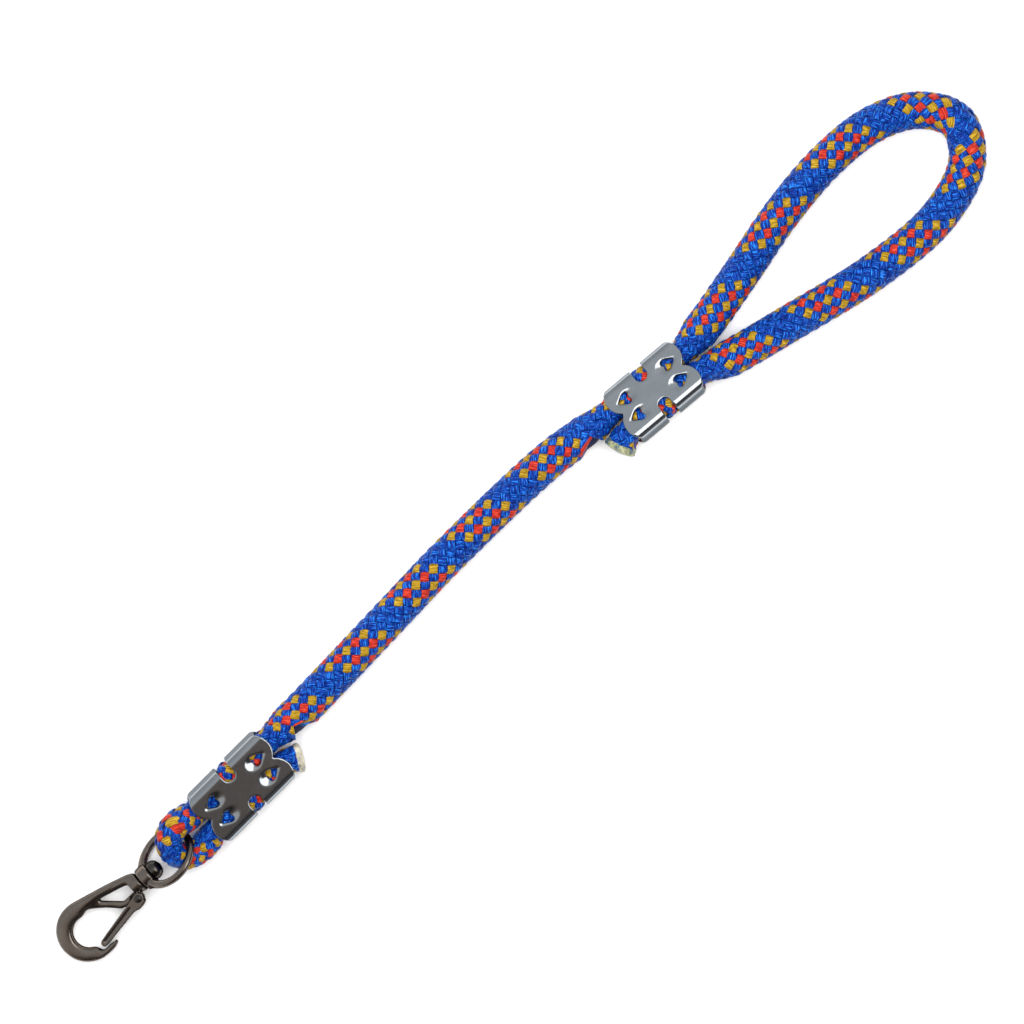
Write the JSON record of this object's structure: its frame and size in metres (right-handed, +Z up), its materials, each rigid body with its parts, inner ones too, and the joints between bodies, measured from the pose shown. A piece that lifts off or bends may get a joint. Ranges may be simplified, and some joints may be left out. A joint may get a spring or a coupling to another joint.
{
  "type": "short rope lead with snap hook",
  "caption": "Short braided rope lead: a hand loop and a lower fold, each gripped by a folded steel clamp, with a swivel eye and a sprung trigger snap hook.",
  "frame": {"origin": "on the surface the lead lies on, under the middle of the clamps and the snap", "axes": "+X along the lead from the hook to the hand loop, +Z up"},
  "size_m": [0.449, 0.0568, 0.02],
  "materials": {
    "rope": "braided polypropylene",
    "clamp": "bright nickel plate",
    "hook": "black nickel plate",
    "steel": "plain"
  },
  "bodies": {
    "lead": {"rope": "rope", "lower_clamp": "clamp", "upper_clamp": "clamp"},
    "eye": {"swivel_eye": "hook"},
    "snap": {"swivel_post": "steel", "hook_body": "hook", "gate_pin": "steel", "gate_spring": "steel"},
    "gate": {"gate": "hook"}
  },
  "joints": [
    {"name": "eye_swing", "type": "hinge", "parent": "lead", "child": "eye", "pos_m": [-0.09494, 0.0012, 0.0103], "axis": [-0.0911, -0.7071, 0.7012], "range_deg": [-35, 20]},
    {"name": "swivel_spin", "type": "hinge", "parent": "eye", "child": "snap", "pos_m": [-0.09494, 0.0012, 0.0103], "axis": [-0.9917, 0, -0.1288], "continuous": true},
    {"name": "gate_open", "type": "hinge", "parent": "snap", "child": "gate", "pos_m": [-0.123, -0.0024, 0.00666], "axis": [0.1288, 0, -0.9917], "range_deg": [0, 26], "stiffness_Nm_per_rad": 0.004, "springref_deg": -34.38, "deforming": ["gate_spring"]}
  ]
}
